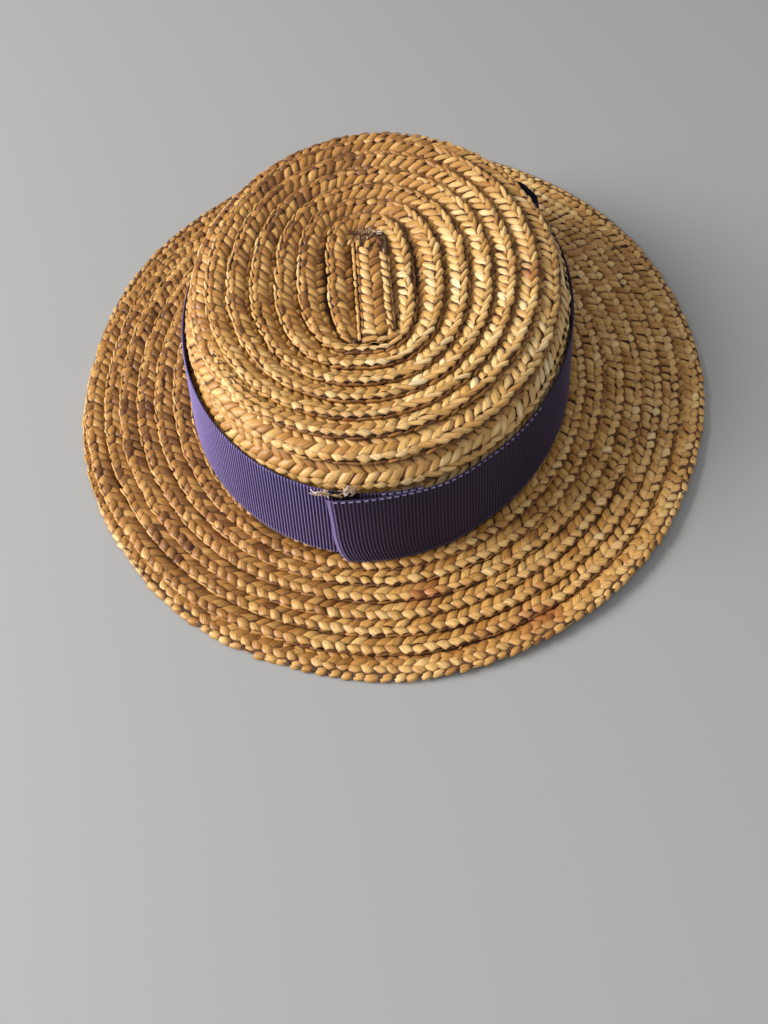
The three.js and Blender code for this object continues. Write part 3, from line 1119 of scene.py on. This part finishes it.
def ribbon_skin(gone, end_mm, outward, ribs):
    """Rows of points along one face of the ribbon, from its lower edge to its upper one."""
    left = RIBBON_TRAVEL - gone
    flare = RIBBON_END_FLARE * fading(left, RIBBON_FLARE_SPAN, 2)
    slant = RIBBON_END_SLANT * fading(left, RIBBON_LAP_SPAN) / 2
    loose_top = RIBBON_TOP_STAND * fading(left, RIBBON_STAND_SPAN, 2)
    away = np.abs(wrapped(RIBBON_START - gone) - RIBBON_BACK_TURN) / RIBBON_BACK_SPAN
    loose_back = RIBBON_BACK_STAND * np.clip(1.6 - away, 0, 1)
    folded = RIBBON_END_FOLD * fading(end_mm, RIBBON_FOLD_LENGTH, 2)
    rows = []
    for share in RIBBON_SHARES:
        height = CROWN_FOOT + RIBBON_WIDTH * share
        down = 1 - (height - CROWN_FOOT) / (SHOULDER - CROWN_FOOT)
        loose = loose_top * share**2 + loose_back * smoothstep(share, 0.5, 1.0)
        ribbed = ribs * (0.25 if share in (0.0, 1.0) else 1.0)
        reach = RIBBON_OFF_CROWN + lap_climb(gone) + flare * (1 - share) ** 2
        reach = reach + loose + outward + ribbed - folded
        bend = RIBBON_END_BEND * fading(left, RIBBON_BEND_SPAN) * (1 - share) ** 7
        angle = np.radians(RIBBON_START - gone + slant * (1 - 2 * share) + bend)
        sag = RIBBON_TOP_SAG * fading(left, RIBBON_SAG_SPAN, 2) * share**3
        rows.append(np.stack([*about_crown(angle, reach, down), height - sag], -1))
    return rows


def ribbon_painted_light(gone, end_mm):
    """Painted light on the purple: full on the left, shaded right of the lap and at the back."""
    from_lap = wrapped(RIBBON_START - gone - RIBBON_LAP_TURN)
    glow = np.where(from_lap > 0, 0.55 * np.exp(-from_lap / 8), 1.0)
    glow = np.where(from_lap < -60, 1 - 0.9 * smoothstep(-from_lap, 60, 110), glow)
    glow = np.where((gone < 60) & (from_lap < 2), 1.0, glow)
    return np.where(end_mm < RIBBON_SELVEDGE, 0.85, glow)


def ribbon():
    """The ribbed band and its length. It is closed: an outer and an inner face, and two ends."""
    mean_half = (CROWN_HALF[0] + CROWN_HALF[1] + sum(FOOT_FLARE) / 2) / 2 + 1
    length = 2 * math.pi * mean_half * RIBBON_TRAVEL / 360 * RIBBON_OVAL
    n = round(length / RIB_PITCH) * RIB_STATIONS + 1
    gone = np.linspace(0, RIBBON_TRAVEL, n)
    end_mm = (RIBBON_TRAVEL - gone) * length / RIBBON_TRAVEL
    wave = np.cos(np.arange(n) * 2 * math.pi / RIB_STATIONS)
    wave = wave * smoothstep(end_mm, 0.4, RIBBON_SELVEDGE)
    inner = ribbon_skin(gone, end_mm, RIBBON_FACES[0], 0 * wave)
    outer = ribbon_skin(gone, end_mm, RIBBON_FACES[1], RIB_DEPTH * wave)
    loop = outer + inner[::-1]
    shares = np.concatenate([RIBBON_SHARES, RIBBON_SHARES[::-1]])
    faces = grid_faces(len(loop), n, wrap_rows=True)
    start_cap = [row * n for row in range(len(loop))]
    faces.append(tuple(reversed(start_cap)))
    faces.append(tuple(corner + n - 1 for corner in start_cap))
    along = np.linspace(0, length * MM, n)
    uv = [np.stack([along, np.full(n, share * RIBBON_WIDTH * MM)], -1) for share in shares]
    made = mesh_object(
        "ribbon_band", np.concatenate(loop), faces, np.concatenate(uv), material=ribbon_material()
    )
    # Painted shade in the grooves and painted highlight on the ridges, and a lighter flat end
    ridge = 0.5 + 0.5 * wave + 0.3 * (end_mm < RIBBON_SELVEDGE)
    # Painted shadow on the lower layer under the lapped end
    dark = ((gone > RIBBON_LAP_SHADOW_SPAN[0]) & (gone < RIBBON_LAP_SHADOW_SPAN[1])).astype(float)
    values = {
        "rib": [ridge] * len(outer) + [np.full(n, 0.5)] * len(inner),
        "glow": [ribbon_painted_light(gone, end_mm)] * len(loop),
        "hidden": [dark * (share > RIBBON_LAP_SHADOW_ABOVE) for share in shares],
    }
    for word, rows in values.items():
        level = np.concatenate(rows).astype(np.float32)
        made.data.attributes.new(word, "FLOAT", "POINT").data.foreach_set("value", level)
    return made, length


pieces["ribbon_band"], ribbon_length = ribbon()


def ribbon_top(gone, climb):
    """Places on the ribbon's outer face just under its upper edge."""
    left = RIBBON_TRAVEL - gone
    slant = RIBBON_END_SLANT / 2 * fading(left, RIBBON_LAP_SPAN)
    loose = RIBBON_TOP_STAND * fading(left, RIBBON_STAND_SPAN, 2)
    reach = RIBBON_OFF_CROWN + climb + loose + THREAD_OUTWARD
    height = CROWN_FOOT + RIBBON_WIDTH - THREAD_BELOW_EDGE
    height = height - RIBBON_TOP_SAG * fading(left, RIBBON_SAG_SPAN, 2)
    return np.stack([*about_crown(np.radians(RIBBON_START - gone - slant), reach, 0), height], -1)


def edge_threads():
    """A thread over every second rib, where the photo shows the ribbon's upper edge."""
    rows = []
    step = RIB_PITCH * 2 * RIBBON_TRAVEL / ribbon_length
    for start, end in THREAD_SPANS:
        gone = np.arange(start, end, step)
        climb = lap_climb(gone)
        here, after = ribbon_top(gone, climb), ribbon_top(gone + 0.2, climb)
        along = unit(after - here)
        facing = unit(np.cross(UP, along))
        outward = np.sum(facing * (here - np.array([*CROWN_CENTRE, 0])), -1)[:, None]
        facing = np.where(outward > 0, facing, -facing)
        rows.append(cells_on(here, quaternions(along, np.cross(facing, along), facing)))
    return rows


thread = straw_cell("edge thread", 1.7, 0.6, 90, 0.22, (0.1, 0.1), (0.4, 0.4), 0.0, 1.0)
thread_cells = {"Edge Thread": thread}
thread_tree = plait_tree("stitch the ribbon's edge", thread_cells, lilac_thread)
plait("ribbon_edge_threads", edge_threads(), thread_tree, 4, thread_cells, 0.05, 0.12)


# ---- Frayed straw
# Place, reach to each side, number of strands, heading, lean and tone of each patch
FRAYED_PATCHES = [
    ((-11.6, 18.4, 57.3), (3.6, 2.6, 0.15), 34, 80, 0.10, -0.12),
    ((-7.6, 20.2, 57.5), (1.0, 0.8, 0.15), 7, 40, 0.10, 0.06),
    ((-3.8, 8.6, 57.4), (0.6, 1.0, 0.15), 5, 80, 0.10, 0.0),
    ((-19.0, -100.4, 41.0), (1.8, 0.35, 0.4), 26, 5, 0.3, 0.14),
    ((-13.6, -100.6, 40.6), (1.4, 0.3, 0.3), 6, 5, 0.25, -0.05),
    ((-8.6, -100.2, 42.8), (1.3, 0.4, 1.2), 30, 60, 0.5, 0.20),
]


def frayed():
    """Short split strands where the braid starts and above the ribbon's lap."""
    rows = []
    for centre, reach, count, heading, lean, tone in FRAYED_PATCHES:
        spread = np.clip(rng.standard_normal((count, 3)), -1.3, 1.3) * np.array(reach)
        turn = np.radians(heading + 32 * rng.standard_normal(count))
        rise = lean * rng.standard_normal(count)
        along = unit(np.stack([np.cos(turn), np.sin(turn), rise], -1))
        side = unit(np.cross(UP, along))
        turns = quaternions(along, side, np.cross(along, side))
        size = [0.6 + 0.8 * rng.random(count), 0.6 + 0.9 * rng.random(count), np.ones(count)]
        rows.append(cells_on(np.array(centre) + spread, turns, 0, np.stack(size, -1), tone))
    return rows


strand = straw_cell("strand", 2.2, 0.46, 90, 0.12, (0.25, 0.15), (0.6, 0.5), 0.0, 1.0)
strand_cells = {"Strand": strand}
strand_tree = plait_tree("scatter the frayed strands", strand_cells, fray_material())
plait("frayed_strands", frayed(), strand_tree, 6, strand_cells, 0.3, 0.1)

for cell in [*cells, thread, strand]:
    bpy.data.objects.remove(cell)

# ---- Floor, light and camera
FLOOR_REACH = 3000
floor_material, _, floor_shader = plain_material("pale floor")
set_inputs(floor_shader, {"Base Color": (0.325, 0.322, 0.315, 1), "Roughness": 0.7})
corners = [(x * FLOOR_REACH, y * FLOOR_REACH, 0) for x, y in ((-1, -1), (1, -1), (1, 1), (-1, 1))]
floor = mesh_object("floor", corners, [(0, 1, 2, 3)], material=floor_material)


def area_light(name, place, size, power, colour):
    """A lamp that faces the middle of the hat's foot. Places and sizes are metres."""
    data = bpy.data.lights.new(name, "AREA")
    data.shape = "RECTANGLE"
    data.size, data.size_y = size
    data.energy = power
    data.color = colour
    made = bpy.data.objects.new(name, data)
    made.location = place
    made.rotation_euler = (-Vector(place)).to_track_quat("-Z", "Y").to_euler()
    bpy.context.scene.collection.objects.link(made)


area_light("window", (-1.62, -0.32, 0.96), (1.0, 0.8), 64, (1.0, 0.985, 0.96))
area_light("fill", (0.1, -0.7, 1.4), (1.4, 1.4), 6, (1.0, 1.0, 1.0))

world = bpy.data.worlds.new("pale room")
world.use_nodes = True
sky = world.node_tree.nodes["Background"]
set_inputs(sky, {"Color": (0.93, 0.95, 1.0, 1), "Strength": 0.33})
bpy.context.scene.world = world
bpy.context.scene.view_settings.view_transform = "Standard"

# The camera that was fitted to the photo, in metres
lens = bpy.data.cameras.new("camera")
lens.sensor_fit = "VERTICAL"
lens.sensor_height = 36
lens.lens = 36.46
lens.clip_start = 0.01
camera = bpy.data.objects.new("camera", lens)
right = Vector((0.99685, 0.07320, -0.03040))
upward = Vector((-0.04188, 0.81209, 0.58204))
away = Vector((0.06729, -0.57893, 0.81260))
axes = Matrix((right, upward, away)).transposed().to_4x4()
axes.translation = Vector((0.02829, -0.31538, 0.33282))
camera.matrix_world = axes
bpy.context.scene.collection.objects.link(camera)
bpy.context.scene.camera = camera

# ---- Frame
for name, piece in pieces.items():
    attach(piece, "root")
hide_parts("crown")
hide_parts("brim")
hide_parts("braid_start")
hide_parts("ribbon")
